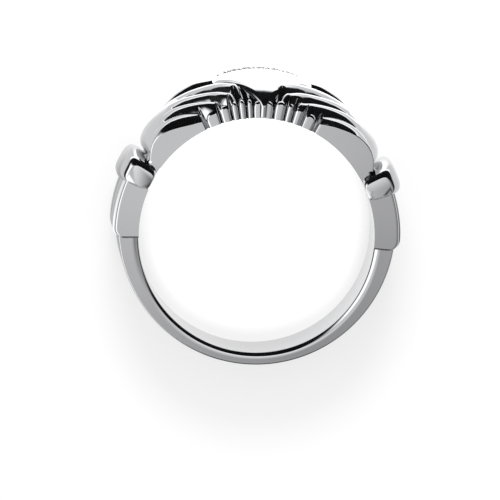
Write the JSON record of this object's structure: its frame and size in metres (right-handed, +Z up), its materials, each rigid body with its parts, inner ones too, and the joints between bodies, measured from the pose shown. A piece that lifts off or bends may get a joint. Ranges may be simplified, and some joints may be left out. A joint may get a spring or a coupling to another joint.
{
  "type": "claddagh ring",
  "caption": "Cast white metal finger ring: two cuffed hands hold a domed heart under a crown set with a row of small round stones.",
  "frame": {"origin": "on the surface the ring lies on, under the middle of its bounding box", "axes": "+Z up; +Y toward the head, which holds hands, heart and crown; the heart's point is on the upper side and the crown on the lower"},
  "size_m": [0.0242, 0.0252, 0.0094],
  "materials": {
    "white_metal": "polished",
    "stone": "faceted and polished"
  },
  "bodies": {
    "root": {"ring_body": "white_metal", "stone_1": "stone", "stone_2": "stone", "stone_3": "stone", "stone_4": "stone", "stone_5": "stone"}
  },
  "joints": []
}
